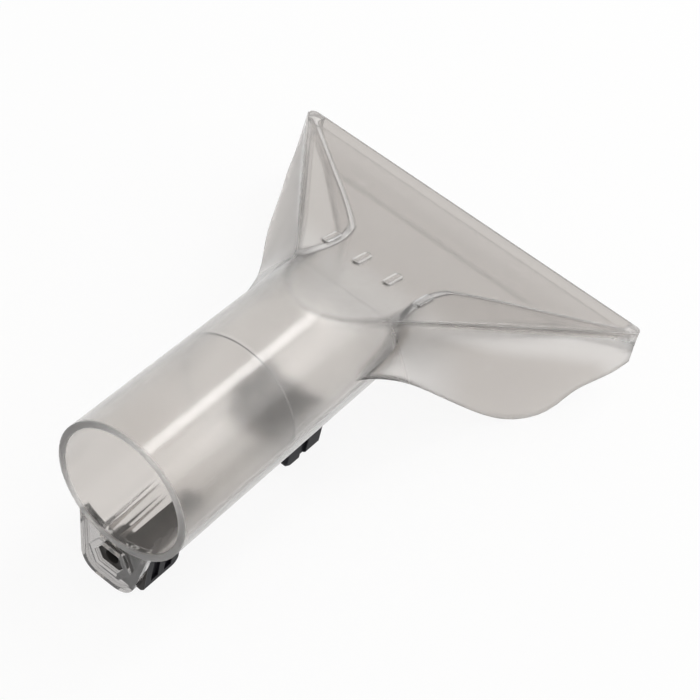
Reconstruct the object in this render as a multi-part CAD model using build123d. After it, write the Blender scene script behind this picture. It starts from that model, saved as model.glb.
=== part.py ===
from build123d import *
import math
import os

# An upholstery washing nozzle: a clear moulded suction head on a tube socket, with a
# water line under the tube that ends in a flat fan jet below the hood.
# Millimetres. X runs to the right along the lip, Y from the mouth of the socket to the
# lip, Z up. The origin is the centre of the socket's mouth.

# Suction socket and tube
socket_bore = 35.0
socket_depth = 42.0
wall = 1.8
tube_draft_deg = 0.46
neck_y = 82.5

# Top of the head: a flat facet cut on the tube, then the roof down to the lip
facet_y = 62.0
roof_start_z = 10.4
lip_y = 145.1
lip_z = -6.7
lip_width = 116.0
lip_corner_radius = 1.8
roof_overlap = 0.6

# Suction duct between the roof and its floor
duct_wall = 1.6
throat_half = 14.2
flare_start_y = 107.8
flare_blend = 5.0
round_run = 26.0
lower_corner_deg = 130.0
land_y = 130.5
land_gap = 4.0
slot_gap = 3.4
slot_end = 3.8
slot_end_y = 141.6
throat_stations = 4
flare_stations = 4

# Skirts that hang from the ridges: share along the ridge, distance out from it, drop below it
skirt_wall = 1.6
skirt_lap = 0.3
skirt_rise = 0.15
skirt_root_y = 59.0
skirt_root_deg = (54.0, 84.0)
skirt_edge = (
    (-0.05, 9.6, 11.2), (0.06, 8.2, 14.2), (0.16, 7.5, 18.1), (0.27, 6.9, 22.7), (0.39, 6.3, 27.2),
    (0.49, 6.0, 29.3), (0.59, 5.6, 28.8), (0.68, 4.7, 25.5), (0.76, 3.4, 19.7), (0.81, 2.9, 17.2),
    (0.86, 2.2, 15.5), (0.96, 0.7, 10.2),
)

# Finger ribs on the roof
rib_count = 4
rib_pitch = 10.0
rib_length = 7.5
rib_width = 2.2
rib_height = 0.5
rib_y = 97.0

# Coupling plate below the mouth, with its rim, its collar and the two gussets behind it
plate_top_half = 11.9
plate_bottom_half = 7.7
plate_bottom_z = -34.6
plate_corner = 6.0
plate_thickness = 2.6
plate_rim = 1.3
plate_recess = 0.9
inlet_z = -26.0
inlet_half_width = 4.6
inlet_half_height = 3.1
inlet_flat_half = 2.7
collar_width = 1.7
gusset_x = (-4.2, -0.4)
gusset_thickness = 1.2
gusset_z = -22.8
gusset_end_y = 24.0

# Rail under the tube that carries the spray head
rail_start_y = 53.0
rail_stem = 2.4
rail_flange = 7.0
rail_flange_thickness = 1.6
rail_drop = 4.2

# Water line
fit_gap = 0.1
tube_gap = 0.2
block_left_x = 2.2
block_right_x = 9.6
block_bottom_z = -32.4
block_end_y = 16.0
block_corner = 0.8
block_end_corner = 3.0
pipe_socket = 8.0
pipe_socket_end_y = 24.0
saddle_drop = 2.4
nipple_set_back = 1.2
nipple_end_y = 8.0
inlet_bore = 4.0
inlet_bore_depth = 4.0
water_bore = 2.6
groove_depth = 0.8
groove_width = 2.6
groove_margin = 2.4
groove_places = (2.3, 7.1)
pipe_x = 5.8
pipe_z = -26.2
pipe_outer = 5.0
pipe_bore = 3.0
pipe_insert = 6.0

# Spray head and jet
head_start_y = 55.6
head_length = 14.0
head_half = 10.6
head_bottom_z = -30.6
head_corner = 0.6
head_back_corner = 2.6
head_groove = 5.8
jet_z = -26.3
jet_seat = 5.0
jet_seat_depth = 5.0
jet_flange = 7.2
jet_flange_thickness = 1.2
jet_nose = 2.4
jet_nose_width = 3.8
jet_slit = 1.0
jet_orifice = 1.6
jet_bore = 2.4

# Values worked out from the sizes above
bore_r = socket_bore / 2
mouth_r = bore_r + wall
draft = math.tan(math.radians(tube_draft_deg))
passage_r = mouth_r - draft * neck_y - wall
lip_half = lip_width / 2
rail_end_y = head_start_y + head_length
margin = 60.0


def outer_r(y):
    """Outside radius of the tube at y."""
    return mouth_r - draft * y


def roof_z(y):
    """Height of the roof's top face at y."""
    return roof_start_z + (lip_z - roof_start_z) * (y - neck_y) / (lip_y - neck_y)


def across(y):
    """Sketch plane across the tube at y, with local x along X and local y along Z."""
    return Plane.XZ.offset(-y)


def block(x0, x1, y0, y1, z0, z1):
    """A box between two corners."""
    return Pos((x0 + x1) / 2, (y0 + y1) / 2, (z0 + z1) / 2) * Box(x1 - x0, y1 - y0, z1 - z0)


def rod(radius, x, z, y0, y1):
    """A round rod along Y."""
    return extrude(across(y0) * Pos(x, z) * Circle(radius), -(y1 - y0))


def cross_rod(radius, x0, x1, y, z):
    """A round rod along X."""
    return Pos((x0 + x1) / 2, y, z) * Rot(0, 90, 0) * Cylinder(radius, x1 - x0)


def turned(points):
    """A solid of revolution about Y from (radius, y) points."""
    return revolve(make_face(Polyline(*points, close=True)), Axis.Y)


def under_top(drop):
    """Everything below the top profile, the facet's plane and then the roof's, lowered by drop."""
    slope = (roof_start_z - outer_r(facet_y)) / (neck_y - facet_y)
    end_y = lip_y + margin
    side = Plane.YZ * make_face(Polyline(
        (-margin, roof_start_z - slope * (neck_y + margin) - drop), (neck_y, roof_start_z - drop),
        (end_y, roof_z(end_y) - drop), (end_y, -2 * margin), (-margin, -2 * margin), close=True))
    return extrude(side, 2 * margin, both=True)


def on_tube(y, degrees):
    """A point in the middle of the tube's wall, by its angle from the top."""
    radius = outer_r(y) - wall / 2
    angle = math.radians(degrees)
    return Vector(radius * math.sin(angle), y, radius * math.cos(angle))


def tube_solid():
    """The tube, filled, with the flat facet on its top."""
    tube = turned([(0, 0), (mouth_r, 0), (outer_r(neck_y), neck_y), (0, neck_y)])
    return tube & under_top(0)


def tube_hollow():
    """The socket's bore, its stop shoulder and the passage to the neck."""
    bore = turned([(0, -wall), (bore_r, -wall), (bore_r, socket_depth), (0, socket_depth)])
    passage = rod(passage_r, 0, 0, socket_depth - wall, neck_y)
    return bore + (passage & under_top(wall))


def hollow_top(y):
    """Height of the duct's ceiling at y."""
    return roof_z(y) - wall


def duct_half(y):
    """Half width of the duct's outside at y: a straight throat, a flare, then the slot's end walls."""
    lip_end = lip_half - slot_end
    flared = throat_half + (lip_end - throat_half) * (y - flare_start_y) / (slot_end_y - flare_start_y)
    trumpet = (throat_half + flared + math.hypot(throat_half - flared, flare_blend)) / 2
    return min(trumpet, lip_end)


def floor_z(y):
    """Height of the underside of the duct's floor at y."""
    land = hollow_top(land_y) - land_gap - duct_wall
    if y > land_y:
        lip = hollow_top(lip_y) - slot_gap - duct_wall
        return land + (lip - land) * (y - land_y) / (lip_y - land_y)
    start = -outer_r(neck_y)
    return start + (land - start) * (y - neck_y) / (land_y - neck_y)


def duct_section(y, inset):
    """Section of the duct at y: round below a flat top at the neck, four-sided further on."""
    roundness = max(0.0, 1 - (y - neck_y) / round_run) ** 2
    radius = outer_r(neck_y) - inset
    top = hollow_top(y) if inset else roof_z(y) - roof_overlap
    neck_top = hollow_top(neck_y) if inset else roof_z(neck_y) - roof_overlap
    neck_half = math.sqrt(radius ** 2 - neck_top ** 2)
    half = (duct_half(y) - inset) * (1 - roundness) + neck_half * roundness
    low_angle = math.radians(lower_corner_deg)
    low_half = (duct_half(y) - inset) * (1 - roundness) + radius * math.sin(low_angle) * roundness
    floor = floor_z(y) + inset
    if not roundness:
        corners = [(-half, top), (half, top), (half, floor), (-half, floor)]
        return across(y) * make_face(Polyline(*corners, close=True))
    low = floor * (1 - roundness) + radius * math.cos(low_angle) * roundness
    mid_angle = (math.atan2(neck_half, neck_top) + low_angle) / 2
    mid_x = (half + low_half) / 2 * (1 - roundness) + radius * math.sin(mid_angle) * roundness
    mid_z = (top + low) / 2 * (1 - roundness) + radius * math.cos(mid_angle) * roundness
    outline = [
        Line((-half, top), (half, top)),
        ThreePointArc((half, top), (mid_x, mid_z), (low_half, low)),
        ThreePointArc((low_half, low), (0, floor), (-low_half, low)),
        ThreePointArc((-low_half, low), (-mid_x, mid_z), (-half, top)),
    ]
    return across(y) * make_face(outline)


def evenly(start, end, count):
    """Even places from start to end, both included."""
    return [start + (end - start) * step / (count - 1) for step in range(count)]


def duct_solid(inset):
    """The duct: a throat that goes from round to four-sided, a flare, then the straight land to the lip."""
    flare_y = neck_y + round_run
    throat = loft([duct_section(y, inset) for y in evenly(neck_y, flare_y, throat_stations)])
    flare = loft([duct_section(y, inset) for y in evenly(flare_y, land_y, flare_stations)])
    land = loft([duct_section(y, inset) for y in (land_y, slot_end_y, lip_y)], ruled=True)
    return throat + flare + land


def ridge_start():
    """Where the right ridge leaves the tube."""
    return Vector(math.sqrt(outer_r(neck_y) ** 2 - roof_start_z ** 2), neck_y, roof_start_z)


def roof_plan():
    """Plan of the roof between the ridges, with rounded corners at the lip."""
    start = ridge_start()
    corners = [(-start.X, neck_y), (start.X, neck_y), (lip_half, lip_y), (-lip_half, lip_y)]
    plan = make_face(Polyline(*corners, close=True))
    return extrude(fillet(plan.vertices().group_by(Axis.Y)[-1], lip_corner_radius), margin, both=True)


def roof_solid():
    """The flat roof between the ridges and the cheeks that close the ends of the slot."""
    slab = Plane.YZ * make_face(Polyline(
        (neck_y, roof_z(neck_y)), (lip_y, roof_z(lip_y)),
        (lip_y, hollow_top(lip_y)), (neck_y, hollow_top(neck_y)), close=True))
    cheek_x = duct_half(lip_y) - duct_wall
    cheek = block(cheek_x, lip_half, slot_end_y, lip_y, floor_z(lip_y), roof_start_z) & under_top(0)
    return roof_plan() & (extrude(slab, 2 * margin, both=True) + [cheek, mirror(cheek, Plane.YZ)])


def skirt_solid():
    """The right skirt: a thin sheet of straight lines across the ridge, down to its curved lower edge."""
    start = ridge_start()
    run = Vector(lip_half, lip_y, lip_z) - start
    outward = Vector(run.Y, -run.X, 0).normalized()
    up = Vector(0, 0, 1)
    top = [on_tube(skirt_root_y, skirt_root_deg[0])]
    low = [on_tube(skirt_root_y, skirt_root_deg[1])]
    shares = [(skirt_root_y - neck_y) / (lip_y - neck_y)]
    for share, out, drop in skirt_edge:
        ridge = start + run * share + outward * skirt_lap
        fall = outward * out - up * drop
        top.append(ridge - fall * skirt_rise)
        low.append(ridge + fall)
        shares.append(share)
    places = [(share - shares[0]) / (shares[-1] - shares[0]) for share in shares]
    sheet = Face.make_surface_from_curves(
        Edge.make_spline(top, parameters=places), Edge.make_spline(low, parameters=places))
    return extrude(sheet, skirt_wall, dir=-outward) & under_top(0)


def finger_ribs():
    """Short bars on the roof, in line with the tube."""
    slope = math.degrees(math.atan2(lip_z - roof_start_z, lip_y - neck_y))
    outline = Rectangle(rib_width, rib_length)
    bar = extrude(chamfer(outline.vertices(), rib_width / 3), rib_height, both=True)
    roof = Pos(0, rib_y, roof_z(rib_y)) * Rot(slope, 0, 0)
    return [roof * place * bar for place in GridLocations(rib_pitch, 0, rib_count, 1)]


def hexagon(grow):
    """Long hexagon of the water inlet, grown by an even margin."""
    wide = inlet_half_width + grow * 1.15
    flat = inlet_flat_half + grow * 0.6
    high = inlet_half_height + grow
    points = [(wide, 0), (flat, high), (-flat, high), (-wide, 0), (-flat, -high), (flat, -high)]
    return Pos(0, inlet_z) * make_face(Polyline(*points, close=True))


def plate_outline(inset):
    """Outline of the coupling plate: tapered sides and a round bottom."""
    top = plate_top_half - inset
    low = plate_bottom_half - inset
    bottom = plate_bottom_z + inset
    corners = [(-top, -bore_r / 2), (top, -bore_r / 2), (low, bottom), (-low, bottom)]
    outline = make_face(Polyline(*corners, close=True))
    return fillet(outline.vertices().group_by(Axis.Y)[0], plate_corner - inset)


def coupling_plate():
    """The plate below the mouth: a rim, a recessed face and a collar round the inlet hole."""
    plate = extrude(across(0) * plate_outline(0), -plate_thickness)
    recess = extrude(across(0) * plate_outline(plate_rim), -plate_recess)
    tube = rod(mouth_r, 0, 0, -wall, plate_thickness)
    collar = extrude(across(0) * hexagon(collar_width), -plate_thickness)
    return plate - (recess - tube) + collar


def gusset(x):
    """A rib that ties the plate to the underside of the tube."""
    front = plate_recess + fit_gap
    side = Plane.YZ * make_face(Polyline(
        (front, gusset_z), (plate_thickness, gusset_z), (gusset_end_y, wall / 2 - outer_r(gusset_end_y)),
        (gusset_end_y, -bore_r / 2), (front, -bore_r / 2), close=True))
    return Pos(x, 0, 0) * extrude(side, gusset_thickness / 2, both=True)


def spray_rail():
    """The tee-shaped rail under the tube."""
    foot = -outer_r(rail_start_y) - rail_drop
    stem = block(-rail_stem / 2, rail_stem / 2, rail_start_y, rail_end_y, foot, -bore_r)
    top = foot + rail_flange_thickness
    return stem + block(-rail_flange / 2, rail_flange / 2, rail_start_y, rail_end_y, foot, top)


def nozzle_body():
    """The clear moulding in one piece."""
    skirt = skirt_solid()
    body = tube_solid() + duct_solid(0) + roof_solid() + coupling_plate() + spray_rail()
    body += [skirt, mirror(skirt, Plane.YZ)]
    for x in gusset_x:
        body += gusset(x)
    body -= tube_hollow() + duct_solid(duct_wall)
    body -= extrude(across(-wall) * hexagon(0), -(plate_thickness + 2 * wall))
    return body + finger_ribs()


def clear_of_tube(solid):
    """Cuts a piece back from the tube by the tube gap."""
    rim = mouth_r + tube_gap
    return solid - rod(rim, 0, 0, -margin, neck_y + margin)


def inlet_block():
    """The black block behind the plate: a nipple in the plate's hole, a ribbed side and the pipe's socket."""
    start = plate_thickness + fit_gap
    body = block(block_left_x, block_right_x, start, block_end_y, block_bottom_z, -bore_r / 2)
    low_edges = body.edges().group_by(Axis.Z)[0]
    body = fillet(low_edges.filter_by(Axis.X).sort_by(Axis.Y)[-1:], block_end_corner)
    body = chamfer(body.edges().filter_by(Axis.Y).group_by(Axis.Z)[0].sort_by(Axis.X)[-1:], block_corner)
    for place in groove_places:
        groove_y = start + place
        body -= block(block_right_x - groove_depth, block_right_x + 1, groove_y, groove_y + groove_width,
                      block_bottom_z + groove_margin, -bore_r / 2 + 1)
    socket_end = pipe_socket_end_y
    body += rod(pipe_socket / 2, pipe_x, pipe_z, block_end_y - 1, socket_end)
    body += block(block_left_x, block_right_x, block_end_y - 1, socket_end, pipe_z + saddle_drop, -bore_r / 2)
    nipple = extrude(across(nipple_set_back) * hexagon(-fit_gap), -(nipple_end_y - nipple_set_back))
    body = clear_of_tube(body) + nipple
    cross_y = nipple_set_back + inlet_bore_depth + water_bore / 2
    body -= rod(inlet_bore / 2, 0, inlet_z, 0, nipple_set_back + inlet_bore_depth)
    body -= rod(water_bore / 2, 0, inlet_z, 0, cross_y)
    body -= cross_rod(water_bore / 2, 0, pipe_x, cross_y, inlet_z)
    body -= rod(water_bore / 2, pipe_x, pipe_z, cross_y, socket_end)
    return body - rod(pipe_outer / 2 + fit_gap, pipe_x, pipe_z, socket_end - pipe_insert, socket_end + 1)


def feed_pipe():
    """The clear pipe from the inlet block to the spray head."""
    start = pipe_socket_end_y - pipe_insert + fit_gap
    end = head_start_y + pipe_insert - fit_gap
    pipe = rod(pipe_outer / 2, pipe_x, pipe_z, start, end)
    return pipe - rod(pipe_bore / 2, pipe_x, pipe_z, start - 1, end + 1)


def spray_head():
    """The black saddle on the rail, with the water way from the pipe to the jet."""
    end = head_start_y + head_length
    body = block(-head_half, head_half, head_start_y, end, head_bottom_z, -bore_r / 2)
    back_edge = body.edges().group_by(Axis.Z)[0].filter_by(Axis.X).sort_by(Axis.Y)[:1]
    body = fillet(back_edge, head_back_corner)
    body = chamfer(body.edges().group_by(Axis.Z)[0].filter_by(Axis.Y), head_corner)
    groove_y = head_start_y + head_groove
    for side in (-1, 1):
        body -= block(side * head_half - groove_depth, side * head_half + groove_depth,
                      groove_y, groove_y + groove_width, head_bottom_z - 1, 0)
    body = clear_of_tube(body)
    foot = -outer_r(rail_start_y) - rail_drop
    body -= block(-rail_stem / 2 - fit_gap, rail_stem / 2 + fit_gap, head_start_y - 1, end + 1,
                  foot - fit_gap, 0)
    body -= block(-rail_flange / 2 - fit_gap, rail_flange / 2 + fit_gap, head_start_y - 1, end + 1,
                  foot - fit_gap, foot + rail_flange_thickness + fit_gap)
    cross_y = head_start_y + pipe_insert + water_bore / 2
    body -= rod(pipe_outer / 2 + fit_gap, pipe_x, pipe_z, head_start_y - 1, head_start_y + pipe_insert)
    body -= rod(water_bore / 2, pipe_x, pipe_z, head_start_y, cross_y)
    body -= cross_rod(water_bore / 2, 0, pipe_x, cross_y, jet_z)
    body -= rod(water_bore / 2, 0, jet_z, cross_y, end)
    body -= rod(jet_seat / 2 + fit_gap, 0, jet_z, end - jet_seat_depth, end + 1)
    return body


def spray_jet():
    """The flat fan jet: a plug with a flange, a round nose and a slit across it."""
    seat = head_start_y + head_length
    back = seat - jet_seat_depth + fit_gap
    face = seat + fit_gap + jet_flange_thickness
    tip = face + jet_nose
    body = turned([
        (0, back), (jet_seat / 2, back), (jet_seat / 2, seat + fit_gap), (jet_flange / 2, seat + fit_gap),
        (jet_flange / 2, face), (jet_nose_width / 2, face), (jet_nose_width / 2, tip), (0, tip),
    ])
    body -= extrude(across(back - 1) * Circle(jet_bore / 2), -(face - back + 1))
    body -= extrude(across(back) * Circle(jet_orifice / 2), -(tip - back + 1))
    body -= block(-jet_flange, jet_flange, tip - jet_slit, tip + 1, -jet_slit / 2, jet_slit / 2)
    return Pos(0, 0, jet_z) * body


os.makedirs("parts", exist_ok=True)
for name, piece in (
    ("nozzle_body", nozzle_body()),
    ("inlet_block", inlet_block()),
    ("feed_pipe", feed_pipe()),
    ("spray_head", spray_head()),
    ("spray_jet", spray_jet()),
):
    export_step(piece, f"parts/{name}.step")
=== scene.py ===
"""The upholstery washing nozzle in its finishes: a clear grey moulding with a satin tube,
black water fittings under it, and a pale studio bench. Metres, in the part's own frame."""

import math
from functools import reduce
from types import SimpleNamespace

import bpy
from mathutils import Matrix, Vector


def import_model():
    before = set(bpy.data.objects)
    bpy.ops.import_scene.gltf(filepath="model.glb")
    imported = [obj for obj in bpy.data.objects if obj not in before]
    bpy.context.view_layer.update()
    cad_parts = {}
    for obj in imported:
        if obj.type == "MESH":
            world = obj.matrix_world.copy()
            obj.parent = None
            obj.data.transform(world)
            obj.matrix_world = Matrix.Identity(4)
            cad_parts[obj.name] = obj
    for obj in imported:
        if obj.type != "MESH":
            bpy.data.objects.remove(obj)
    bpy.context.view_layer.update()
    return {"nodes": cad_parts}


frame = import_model()
nodes = frame["nodes"]

# Lines of the moulding: the right ridge in (x, y), the roof's top in (y, z), the ribs and the stop shoulder
RIDGE_START = (0.0155, 0.0825)
RIDGE_OUTWARD = (0.827, -0.562)
ROOF_START = (0.0825, 0.0104)
ROOF_FALL = 0.2732
RIB_PITCH = 0.010
SHOULDER_Y = 0.042

# The span over which each zone of the moulding fades in or out
SATIN_END_Y = (0.086, 0.102)
PLATE_END_Y = (0.003, 0.004)
PLATE_TOP_Z = (-0.0195, -0.0185)
SKIRT_START_Y = (0.076, 0.092)
SKIRT_FROM_RIDGE = (-0.0002, 0.0012)
SKIRT_EDGE_FACING = (0.4, 0.7)
ROOF_UNDERSIDE = (-0.0022, -0.0019)
TUBE_SIDE_Z = (-0.012, 0.012)
MOUTH_END_Y = (0.018, 0.05)
NECK_START_Y = (0.062, 0.078)
RIB_START_Y = (0.089, 0.091)
RIB_HEIGHT = (0.00004, 0.0002)
RIB_STROKE = (0.0005, 0.0008)
RIM_DEPTH = (0.0001, 0.0006)
RIM_RADIUS = (0.0193, 0.0197)
BORE_RADIUS = (0.0175, 0.0179)
SHOULDER_REACH = (0.0004, 0.0016)
FACET_START_Y = (0.054, 0.062)
FACET_END_Y = (0.084, 0.091)
FACET_LOW_Z = (0.002, 0.006)
RIDGE_FROM_Y = (0.084, 0.09)
RIDGE_REACH = (0.0015, 0.0035)
DUCT_START_Y = (0.1, 0.11)

# Tints of the clear moulding, set zone by zone as painted light and shade over one grey plastic: painted
# shade darkens the mouth's lower side, the neck and the plate; painted light nearly clears what lies under
# the roof's top and lifts the tube's top a little
MOUTH_TINT = (0.705, 0.67, 0.64)
TUBE_LOW_TINT = (0.83, 0.805, 0.785)
TUBE_TOP_TINT = (0.85, 0.825, 0.80)
NECK_TINT = (0.655, 0.63, 0.605)
ROOF_TINT = (0.57, 0.535, 0.505)
DUCT_TINT = (0.98, 0.975, 0.97)
SKIRT_TINT = (0.685, 0.645, 0.61)
PLATE_TINT = (0.50, 0.485, 0.475)
MOTTLE_TINT = (0.5, 0.48, 0.46)
WATER_MARK_TINT = (0.86, 0.85, 0.83)
# Near white tint of painted light: painted highlights on the rim, the skirts' narrow edges and strokes
# along the ribs, and painted light over the stop shoulder's shade
PAINTED_LIGHT_TINT = (0.98, 0.97, 0.96)

# How far the mottle and the water marks tint the moulding
MOTTLE_SHARE = 0.12
WATER_MARK_SHARE = 0.2

# Roughness of the polished head, and what each zone or mark adds to it
HEAD_ROUGHNESS = 0.10
SKIRT_FROST = 0.30
PLATE_POLISH = -0.05
TUBE_SATIN = 0.09
SCUFF_DULLING = 0.12
WATER_MARK_DULLING = 0.02
SAWN_DULLING = 0.7

# Coat of the head, and what the tube adds to it
HEAD_COAT = 0.05
TUBE_COAT = 0.11

# Radius at which the moulding's edges look rounded, and how the zones widen or narrow it
EDGE_ROUND = 0.0012
SOFT_ROUND = 0.0028
RIDGE_SOFTNESS = 0.5
DUCT_SOFTNESS = 0.7
PLATE_CRISPNESS = 0.0009
BEVEL_SAMPLES = 4

# Black fittings
BLACK_DARK_MOTTLE = (0.005, 0.005, 0.0075)
BLACK_PALE_MOTTLE = (0.012, 0.012, 0.017)
JET_DARK_MOTTLE = (0.008, 0.008, 0.008)
JET_PALE_MOTTLE = (0.014, 0.014, 0.014)
SCUFFED_TINT = (0.06, 0.06, 0.06)
# Painted reflection: the nipple's front end is painted paler grey, standing in for the lamp's reflection on
# its face, and is made glossier
PAINTED_SHEEN_TINT = (0.055, 0.052, 0.05)
PAINTED_SHEEN_FADE = 0.0006
NIPPLE_END_Y = 0.0026
NO_PAINTED_SHEEN_Y = -1.0

# The bench touches the plate's lower edge and the bellies of both skirts
REST_BACK = (0.0026, -0.0346)
REST_SLOPE_DEG = 3.06
BENCH_HALF = 2.0
BENCH_GRAIN = 14.0
BENCH_WHITENESS = 0.9
BENCH_DARK = (0.93, 0.93, 0.925)
BENCH_PALE = (0.97, 0.97, 0.965)

# Studio light
FILL_COLOUR = (1.0, 0.99, 0.975)
FILL_STRENGTH = 0.62
LAMP_TARGET = Vector((0, 0.06, 0))

# Camera of the photograph
EYE = Vector((0.185594, -0.272941, 0.413305))
RIGHT = Vector((0.77489168, 0.60579621, 0.18042683))
UP = Vector((-0.55105169, 0.50760144, 0.66233135))
BACK = Vector((0.3096529, -0.61265956, 0.72716116))
LENS_MM = 116.9
SENSOR_MM = 36.0
CLIP_START = 0.01


def new_material(name):
    """An empty node material and its tree."""
    material = bpy.data.materials.new(name)
    material.use_nodes = True
    material.node_tree.nodes.clear()
    return material, material.node_tree


def feed(tree, value, socket):
    """Feeds a socket by a wire from another socket, or sets it to a number or a colour."""
    if isinstance(value, bpy.types.NodeSocket):
        tree.links.new(value, socket)
    elif isinstance(value, tuple):
        socket.default_value = (*value, 1)
    else:
        socket.default_value = value


def maths(tree, operation, *values, clamp=False):
    """A maths node fed by sockets or numbers; gives its output socket."""
    node = tree.nodes.new("ShaderNodeMath")
    node.operation = operation
    node.use_clamp = clamp
    for value, socket in zip(values, node.inputs):
        feed(tree, value, socket)
    return node.outputs[0]


def plus(tree, first, second):
    """A sum of two values."""
    return maths(tree, "ADD", first, second)


def minus(tree, first, second):
    """A difference of two values."""
    return maths(tree, "SUBTRACT", first, second)


def times(tree, first, second):
    """A product of two values."""
    return maths(tree, "MULTIPLY", first, second)


def size_of(tree, value):
    """A value without its sign."""
    return maths(tree, "ABSOLUTE", value)


def largest(tree, *masks):
    """The largest of several masks at each point."""
    return reduce(lambda first, second: maths(tree, "MAXIMUM", first, second), masks)


def layered(tree, base, *layers):
    """A base value with masks laid over it, each by its share, kept between 0 and 1."""
    total = base
    for mask, share in layers:
        total = maths(tree, "ADD", times(tree, mask, share), total, clamp=True)
    return total


def fade(tree, value, span, first, last):
    """A mask that goes smoothly from a first to a last value over a span."""
    node = tree.nodes.new("ShaderNodeMapRange")
    node.interpolation_type = "SMOOTHSTEP"
    for name, number in zip(("From Min", "From Max", "To Min", "To Max"), (*span, first, last)):
        node.inputs[name].default_value = number
    feed(tree, value, node.inputs["Value"])
    return node.outputs["Result"]


def past(tree, value, span):
    """0 before a span, 1 past it."""
    return fade(tree, value, span, 0.0, 1.0)


def before(tree, value, span):
    """1 before a span, 0 past it."""
    return fade(tree, value, span, 1.0, 0.0)


def blend_colours(tree, factor, first, second):
    """A colour between two plain colours or sockets."""
    node = tree.nodes.new("ShaderNodeMix")
    node.data_type = "RGBA"
    feed(tree, factor, node.inputs["Factor"])
    for name, value in (("A", first), ("B", second)):
        feed(tree, value, next(s for s in node.inputs if s.name == name and s.type == "RGBA"))
    return next(s for s in node.outputs if s.type == "RGBA")


def noise(tree, point, scale, detail=2.0):
    """Noise over the surface at a scale per metre."""
    node = tree.nodes.new("ShaderNodeTexNoise")
    node.inputs["Detail"].default_value = detail
    feed(tree, scale, node.inputs["Scale"])
    feed(tree, point, node.inputs["Vector"])
    return node.outputs["Fac"]


def stretched(tree, point, scale, turn_deg):
    """Coordinates turned about Z and stretched for a streaky pattern."""
    node = tree.nodes.new("ShaderNodeMapping")
    node.vector_type = "TEXTURE"
    node.inputs["Rotation"].default_value = (0, 0, math.radians(turn_deg))
    node.inputs["Scale"].default_value = scale
    feed(tree, point, node.inputs["Vector"])
    return node.outputs["Vector"]


def object_point(tree):
    """The place on the surface, in the part's own frame."""
    return tree.nodes.new("ShaderNodeTexCoord").outputs["Object"]


def axes_of(tree, point):
    """The x, y and z of a place."""
    node = tree.nodes.new("ShaderNodeSeparateXYZ")
    feed(tree, point, node.inputs["Vector"])
    return node.outputs["X"], node.outputs["Y"], node.outputs["Z"]


def effect_group(name, inputs, outputs):
    """A shader node group with named number inputs, and its two ends."""
    group = bpy.data.node_groups.new(name, "ShaderNodeTree")
    group.interface.new_socket(name="Place", in_out="INPUT", socket_type="NodeSocketVector")
    for label, value in inputs:
        socket = group.interface.new_socket(name=label, in_out="INPUT", socket_type="NodeSocketFloat")
        socket.default_value = value
    for label in outputs:
        group.interface.new_socket(name=label, in_out="OUTPUT", socket_type="NodeSocketFloat")
    return group, group.nodes.new("NodeGroupInput"), group.nodes.new("NodeGroupOutput")


def moulded_skin_group():
    """Skin of a moulding: a slow waviness of the flow and a fine tool grain, as heights and as a mask."""
    inputs = (("Flow size", 60.0), ("Grain size", 2600.0), ("Grain share", 0.3))
    group, start, end = effect_group("moulded skin", inputs, ("Height", "Mottle"))
    place = start.outputs["Place"]
    flow = noise(group, place, start.outputs["Flow size"], detail=3.0)
    grain = noise(group, place, start.outputs["Grain size"], detail=1.0)
    fine = times(group, grain, start.outputs["Grain share"])
    feed(group, plus(group, flow, fine), end.inputs["Height"])
    feed(group, flow, end.inputs["Mottle"])
    return group


def handling_group():
    """Wear of a used tool: hairline scuffs in two directions and faint dried water marks."""
    scuff_stretch = (1.0, 26.0, 1.0)
    scuff_turns_deg = (24, -61)
    scuff_level = (0.68, 0.76)
    scuff_patch_scale = 45.0
    scuff_patch_level = (0.42, 0.62)
    drop_scale = 95.0
    drop_radius = (0.10, 0.16)
    drop_patch_scale = 30.0
    drop_patch_level = (0.55, 0.66)
    inputs = (("Scuff size", 900.0), ("Scuff share", 0.5))
    group, start, end = effect_group("handling marks", inputs, ("Scuffs", "Water marks"))
    place = start.outputs["Place"]

    runs = []
    for turn_deg in scuff_turns_deg:
        streaks = stretched(group, place, scuff_stretch, turn_deg)
        hairs = noise(group, streaks, start.outputs["Scuff size"], detail=1.0)
        runs.append(past(group, hairs, scuff_level))
    patches = past(group, noise(group, place, scuff_patch_scale), scuff_patch_level)
    scuffs = times(group, largest(group, *runs), patches)
    feed(group, times(group, scuffs, start.outputs["Scuff share"]), end.inputs["Scuffs"])

    drops = group.nodes.new("ShaderNodeTexVoronoi")
    drops.inputs["Scale"].default_value = drop_scale
    feed(group, place, drops.inputs["Vector"])
    spots = before(group, drops.outputs["Distance"], drop_radius)
    few = past(group, noise(group, place, drop_patch_scale), drop_patch_level)
    feed(group, times(group, spots, few), end.inputs["Water marks"])
    return group


moulded_skin = moulded_skin_group()
handling_marks = handling_group()


def place_group(tree, group, point, **values):
    """One use of a shared effect with its own values."""
    node = tree.nodes.new("ShaderNodeGroup")
    node.node_tree = group
    feed(tree, point, node.inputs["Place"])
    for name, value in values.items():
        node.inputs[name.replace("_", " ")].default_value = value
    return node


def finish_surface(tree, shader, height, depth, strength, rounding):
    """A bump from a height over edges that look rounded, and the material's output."""
    edges = tree.nodes.new("ShaderNodeBevel")
    edges.samples = BEVEL_SAMPLES
    feed(tree, rounding, edges.inputs["Radius"])
    bump = tree.nodes.new("ShaderNodeBump")
    bump.inputs["Distance"].default_value = depth
    bump.inputs["Strength"].default_value = strength
    feed(tree, height, bump.inputs["Height"])
    feed(tree, edges.outputs["Normal"], bump.inputs["Normal"])
    feed(tree, bump.outputs["Normal"], shader.inputs["Normal"])
    output = tree.nodes.new("ShaderNodeOutputMaterial")
    feed(tree, shader.outputs["BSDF"], output.inputs["Surface"])


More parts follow.
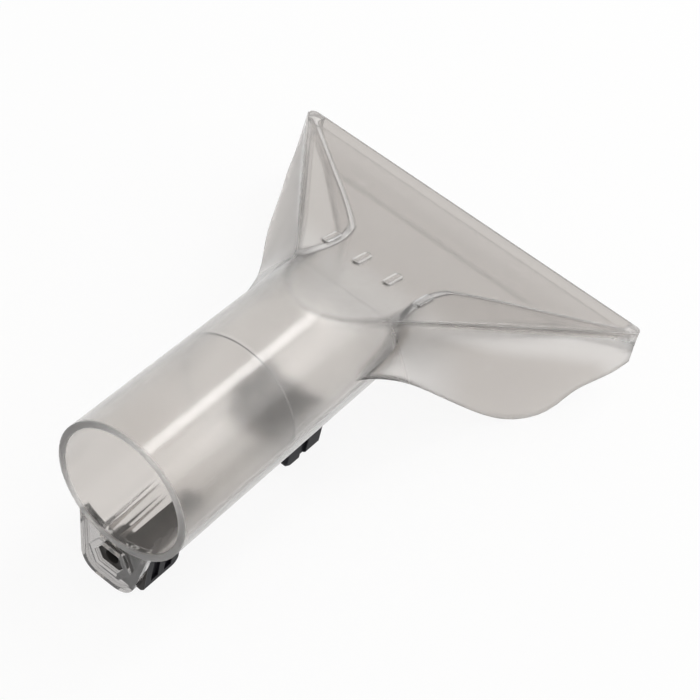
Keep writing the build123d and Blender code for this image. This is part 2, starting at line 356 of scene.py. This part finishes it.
def skirt_edges(tree, x):
    """1 on the narrow edges of the skirts; 0 on their wide faces, which look out from the ridges."""
    outward = tree.nodes.new("ShaderNodeCombineXYZ")
    feed(tree, times(tree, maths(tree, "SIGN", x), RIDGE_OUTWARD[0]), outward.inputs["X"])
    outward.inputs["Y"].default_value = RIDGE_OUTWARD[1]
    facing = tree.nodes.new("ShaderNodeVectorMath")
    facing.operation = "DOT_PRODUCT"
    feed(tree, tree.nodes.new("ShaderNodeNewGeometry").outputs["True Normal"], facing.inputs[0])
    feed(tree, outward.outputs["Vector"], facing.inputs[1])
    return before(tree, size_of(tree, facing.outputs["Value"]), SKIRT_EDGE_FACING)


def tube_zones(tree, x, y, z):
    """Masks of the tube end: the tube, its sides, the plate, the facet, the rim and the stop shoulder."""
    on = SimpleNamespace()
    on.tube = before(tree, y, SATIN_END_Y)
    on.plate = times(tree, before(tree, z, PLATE_TOP_Z), before(tree, y, PLATE_END_Y))
    on.satin = times(tree, on.tube, minus(tree, 1.0, on.plate))
    on.high_side = past(tree, z, TUBE_SIDE_Z)
    on.past_mouth = past(tree, y, MOUTH_END_Y)
    on.neck = past(tree, y, NECK_START_Y)
    facet_run = times(tree, past(tree, y, FACET_START_Y), before(tree, y, FACET_END_Y))
    on.facet = times(tree, facet_run, past(tree, z, FACET_LOW_Z))
    radius = maths(tree, "SQRT", plus(tree, times(tree, x, x), times(tree, z, z)))
    on.rim = times(tree, before(tree, y, RIM_DEPTH), before(tree, radius, RIM_RADIUS))
    off_shoulder = size_of(tree, minus(tree, y, SHOULDER_Y))
    in_bore = before(tree, radius, BORE_RADIUS)
    on.shoulder = times(tree, before(tree, off_shoulder, SHOULDER_REACH), in_bore)
    return on


def head_zones(tree, x, y, z):
    """Masks of the head: the skirts and their edges, the ridges, the duct, the ribs on the roof and the
    strokes along them where highlights are painted.
    """
    on = SimpleNamespace()
    aside = size_of(tree, x)
    off_x = times(tree, minus(tree, aside, RIDGE_START[0]), RIDGE_OUTWARD[0])
    off_y = times(tree, minus(tree, y, RIDGE_START[1]), RIDGE_OUTWARD[1])
    off_ridge = plus(tree, off_x, off_y)
    on.skirt = times(tree, past(tree, off_ridge, SKIRT_FROM_RIDGE), past(tree, y, SKIRT_START_Y))
    on.skirt_edge = times(tree, on.skirt, skirt_edges(tree, x))
    by_ridge = before(tree, size_of(tree, off_ridge), RIDGE_REACH)
    on.ridge = times(tree, by_ridge, past(tree, y, RIDGE_FROM_Y))
    fall = times(tree, minus(tree, y, ROOF_START[0]), ROOF_FALL)
    over_roof = plus(tree, minus(tree, z, ROOF_START[1]), fall)
    on.under_roof = before(tree, over_roof, ROOF_UNDERSIDE)
    on.duct = times(tree, on.under_roof, past(tree, y, DUCT_START_Y))
    on.ribs = times(tree, past(tree, over_roof, RIB_HEIGHT), past(tree, y, RIB_START_Y))
    across_ribs = maths(tree, "MODULO", aside, RIB_PITCH)
    off_rib = size_of(tree, minus(tree, across_ribs, RIB_PITCH / 2))
    # Painted highlights: strokes along the ribs' long edges, painted near white
    on.rib_strokes = times(tree, on.ribs, past(tree, off_rib, RIB_STROKE))
    return on


def moulding_tint(tree, tube, head, painted_light, skin, marks):
    """The moulding's colour: a tint for each zone with its painted light and shade, mottled and marked a
    little, and painted near white where highlights and light are painted.
    """
    low = blend_colours(tree, tube.past_mouth, MOUTH_TINT, TUBE_LOW_TINT)
    high = blend_colours(tree, tube.neck, TUBE_TOP_TINT, NECK_TINT)
    on_tube = blend_colours(tree, tube.high_side, low, high)
    on_roof = blend_colours(tree, head.under_roof, ROOF_TINT, DUCT_TINT)
    on_head = blend_colours(tree, head.skirt, on_roof, SKIRT_TINT)
    on_body = blend_colours(tree, tube.tube, on_head, on_tube)
    tint = blend_colours(tree, tube.plate, on_body, PLATE_TINT)
    thin = times(tree, skin.outputs["Mottle"], MOTTLE_SHARE)
    mottled = blend_colours(tree, thin, tint, MOTTLE_TINT)
    faint = times(tree, marks.outputs["Water marks"], WATER_MARK_SHARE)
    marked = blend_colours(tree, faint, mottled, WATER_MARK_TINT)
    return blend_colours(tree, painted_light, marked, PAINTED_LIGHT_TINT)


def moulding_rounding(tree, tube, head):
    """The radius at which edges look rounded: wide on soft forms, narrow on the plate and the shoulder."""
    ridge = times(tree, head.ridge, RIDGE_SOFTNESS)
    duct = times(tree, head.duct, DUCT_SOFTNESS)
    soft = times(tree, largest(tree, tube.facet, head.ribs, ridge, duct), SOFT_ROUND)
    on_plate = times(tree, tube.plate, PLATE_CRISPNESS)
    on_shoulder = times(tree, tube.shoulder, EDGE_ROUND)
    return minus(tree, plus(tree, soft, EDGE_ROUND), largest(tree, on_plate, on_shoulder))


def clear_moulding():
    """Clear warm grey plastic: satin on the tube, frosted skirts, polished on the head and the plate."""
    material, tree = new_material("clear_grey_moulding")
    point = object_point(tree)
    skin = place_group(tree, moulded_skin, point, Flow_size=55.0, Grain_size=2400.0, Grain_share=0.05)
    marks = place_group(tree, handling_marks, point, Scuff_size=700.0, Scuff_share=0.25)
    place = axes_of(tree, point)
    tube = tube_zones(tree, *place)
    head = head_zones(tree, *place)
    # Painted light: the rim and the skirts' narrow edges are frosted and painted near white as highlights,
    # so are the strokes along the ribs, and the stop shoulder is painted near white over the shade of its
    # step
    frosted_edges_painted_light = largest(tree, tube.rim, head.skirt_edge)
    painted_highlights = largest(tree, head.rib_strokes, frosted_edges_painted_light)
    painted_light = largest(tree, painted_highlights, tube.shoulder)

    shader = tree.nodes.new("ShaderNodeBsdfPrincipled")
    shader.inputs["IOR"].default_value = 1.5
    shader.inputs["Transmission Weight"].default_value = 0.95
    shader.inputs["Coat Roughness"].default_value = 0.07
    shader.inputs["Coat IOR"].default_value = 1.5
    feed(tree, moulding_tint(tree, tube, head, painted_light, skin, marks), shader.inputs["Base Color"])
    roughness = layered(tree, HEAD_ROUGHNESS, (head.skirt, SKIRT_FROST), (tube.plate, PLATE_POLISH),
                        (tube.satin, TUBE_SATIN), (marks.outputs["Scuffs"], SCUFF_DULLING),
                        (marks.outputs["Water marks"], WATER_MARK_DULLING), (frosted_edges_painted_light, SAWN_DULLING))
    feed(tree, roughness, shader.inputs["Roughness"])
    glaze = layered(tree, HEAD_COAT, (tube.satin, TUBE_COAT))
    feed(tree, largest(tree, glaze, painted_highlights), shader.inputs["Coat Weight"])
    finish_surface(tree, shader, skin.outputs["Height"], depth=0.0002, strength=0.1,
                   rounding=moulding_rounding(tree, tube, head))
    return material


def clear_pipe():
    """Soft clear pipe, a little milky."""
    clear_tint = (0.86, 0.86, 0.84)
    milky_tint = (0.78, 0.78, 0.76)
    smooth_roughness = 0.14
    scuff_dulling = 0.15
    material, tree = new_material("clear_soft_pipe")
    point = object_point(tree)
    skin = place_group(tree, moulded_skin, point, Flow_size=220.0, Grain_size=3000.0, Grain_share=0.15)
    marks = place_group(tree, handling_marks, point, Scuff_size=1200.0, Scuff_share=0.4)
    shader = tree.nodes.new("ShaderNodeBsdfPrincipled")
    shader.inputs["IOR"].default_value = 1.46
    shader.inputs["Transmission Weight"].default_value = 0.82
    tint = blend_colours(tree, skin.outputs["Mottle"], clear_tint, milky_tint)
    feed(tree, tint, shader.inputs["Base Color"])
    roughness = layered(tree, smooth_roughness, (marks.outputs["Scuffs"], scuff_dulling))
    feed(tree, roughness, shader.inputs["Roughness"])
    finish_surface(tree, shader, skin.outputs["Height"], depth=0.0001, strength=0.15, rounding=0.0003)
    return material


def black_moulding(name, dark, pale, gloss, grain_size, painted_sheen_y=NO_PAINTED_SHEEN_Y):
    """Black moulded plastic with a fine spark grain and paler scuffs; in front of a given y it is glossier
    and painted paler, a painted reflection.
    """
    scuff_share = 0.3
    mottle_dulling = 0.16
    scuff_dulling = 0.12
    sheen_end_polish = -0.2
    material, tree = new_material(name)
    point = object_point(tree)
    skin = place_group(tree, moulded_skin, point, Flow_size=160.0, Grain_size=grain_size, Grain_share=0.7)
    marks = place_group(tree, handling_marks, point, Scuff_size=1100.0, Scuff_share=0.8)
    _, y, _ = axes_of(tree, point)
    # Painted reflection: in front of the given y the colour is painted paler and the surface is glossier
    painted_sheen_end = before(tree, y, (painted_sheen_y, painted_sheen_y + PAINTED_SHEEN_FADE))

    shader = tree.nodes.new("ShaderNodeBsdfPrincipled")
    shader.inputs["IOR"].default_value = 1.5
    shader.inputs["Specular IOR Level"].default_value = 0.1
    mottled = blend_colours(tree, skin.outputs["Mottle"], dark, pale)
    scuffs = times(tree, marks.outputs["Scuffs"], scuff_share)
    scuffed = blend_colours(tree, scuffs, mottled, SCUFFED_TINT)
    feed(tree, blend_colours(tree, painted_sheen_end, scuffed, PAINTED_SHEEN_TINT), shader.inputs["Base Color"])
    roughness = layered(tree, gloss, (skin.outputs["Mottle"], mottle_dulling),
                        (marks.outputs["Scuffs"], scuff_dulling), (painted_sheen_end, sheen_end_polish))
    feed(tree, roughness, shader.inputs["Roughness"])
    finish_surface(tree, shader, skin.outputs["Height"], depth=0.00008, strength=0.35, rounding=0.0004)
    return material


FINISHES = {
    "nozzle_body": clear_moulding(),
    "feed_pipe": clear_pipe(),
    "inlet_block": black_moulding("black_block", BLACK_DARK_MOTTLE, BLACK_PALE_MOTTLE, gloss=0.36, grain_size=3200.0,
                                  painted_sheen_y=NIPPLE_END_Y),
    "spray_head": black_moulding("black_saddle", BLACK_DARK_MOTTLE, BLACK_PALE_MOTTLE, gloss=0.40, grain_size=3000.0),
    "spray_jet": black_moulding("black_jet", JET_DARK_MOTTLE, JET_PALE_MOTTLE, gloss=0.30, grain_size=4200.0),
}
for node_name, finish in FINISHES.items():
    piece = nodes[node_name]
    if len(piece.material_slots) == 0:
        piece.data.materials.append(finish)
    for material_slot in piece.material_slots:
        material_slot.material = finish


def seen_directly(tree):
    """1 for what the camera sees, straight, in a reflection or through the plastic; 0 for soft light."""
    path = tree.nodes.new("ShaderNodeLightPath")
    kinds = ("Is Camera Ray", "Is Glossy Ray", "Is Transmission Ray")
    return largest(tree, *(path.outputs[kind] for kind in kinds))


def mix_shaders(tree, factor, first, second, output_kind):
    """A mix of two shaders, wired to the tree's output."""
    mix = tree.nodes.new("ShaderNodeMixShader")
    for value, socket in zip((factor, first.outputs[0], second.outputs[0]), mix.inputs):
        feed(tree, value, socket)
    output = tree.nodes.new(output_kind)
    feed(tree, mix.outputs[0], output.inputs["Surface"])


def bench_material():
    """Pale bench: white to the eye, with the soft shadow that the part leaves on it."""
    material, tree = new_material("pale_bench")
    board = tree.nodes.new("ShaderNodeBsdfDiffuse")
    cloudy = noise(tree, object_point(tree), BENCH_GRAIN)
    feed(tree, blend_colours(tree, cloudy, BENCH_DARK, BENCH_PALE), board.inputs["Color"])
    white = tree.nodes.new("ShaderNodeEmission")
    whiteness = times(tree, seen_directly(tree), BENCH_WHITENESS)
    mix_shaders(tree, whiteness, board, white, "ShaderNodeOutputMaterial")
    return material


def make_bench():
    """The floor: a wide board that touches the part where it rests."""
    mesh = bpy.data.meshes.new("bench")
    corners = [(x * BENCH_HALF, y * BENCH_HALF, 0) for x, y in ((-1, -1), (1, -1), (1, 1), (-1, 1))]
    mesh.from_pydata(corners, [], [(0, 1, 2, 3)])
    tip = Matrix.Rotation(math.radians(REST_SLOPE_DEG), 4, "X")
    mesh.transform(Matrix.Translation((0, *REST_BACK)) @ tip)
    mesh.materials.append(bench_material())
    bench = bpy.data.objects.new("bench", mesh)
    bpy.context.scene.collection.objects.link(bench)


def studio_world():
    """Even pale fill, and plain white where it is seen."""
    world = bpy.data.worlds.new("pale_studio")
    bpy.context.scene.world = world
    world.use_nodes = True
    tree = world.node_tree
    tree.nodes.clear()
    fill = tree.nodes.new("ShaderNodeBackground")
    feed(tree, FILL_COLOUR, fill.inputs["Color"])
    fill.inputs["Strength"].default_value = FILL_STRENGTH
    white = tree.nodes.new("ShaderNodeBackground")
    feed(tree, (1, 1, 1), white.inputs["Color"])
    white.inputs["Strength"].default_value = 1.0
    mix_shaders(tree, seen_directly(tree), fill, white, "ShaderNodeOutputWorld")


def soft_box(name, direction, distance, size, watts):
    """A soft area lamp that looks at the part; its long side lies along Y."""
    lamp = bpy.data.lights.new(name, "AREA")
    lamp.shape = "RECTANGLE"
    lamp.size, lamp.size_y = size
    lamp.energy = watts
    box = bpy.data.objects.new(name, lamp)
    back = Vector(direction).normalized()
    across = Vector((0, 1, 0)).cross(back).normalized()
    along = back.cross(across)
    turn = Matrix((across, along, back)).transposed()
    box.matrix_world = Matrix.Translation(LAMP_TARGET + back * distance) @ turn.to_4x4()
    bpy.context.scene.collection.objects.link(box)


def photo_camera():
    """The camera of the photograph, as the scene's own."""
    camera = bpy.data.objects.new("photo_camera", bpy.data.cameras.new("photo_camera"))
    camera.data.lens = LENS_MM
    camera.data.sensor_width = SENSOR_MM
    camera.data.clip_start = CLIP_START
    camera.matrix_world = Matrix.Translation(EYE) @ Matrix((RIGHT, UP, BACK)).transposed().to_4x4()
    bpy.context.scene.collection.objects.link(camera)
    bpy.context.scene.camera = camera


make_bench()
studio_world()
soft_box("key_box", direction=(0.03, 0.61, 0.79), distance=1.0, size=(0.2, 0.8), watts=2.7)
soft_box("side_box", direction=(0.52, 0.61, 0.60), distance=1.0, size=(0.7, 0.8), watts=1.9)
photo_camera()
bpy.context.scene.view_settings.view_transform = "Standard"
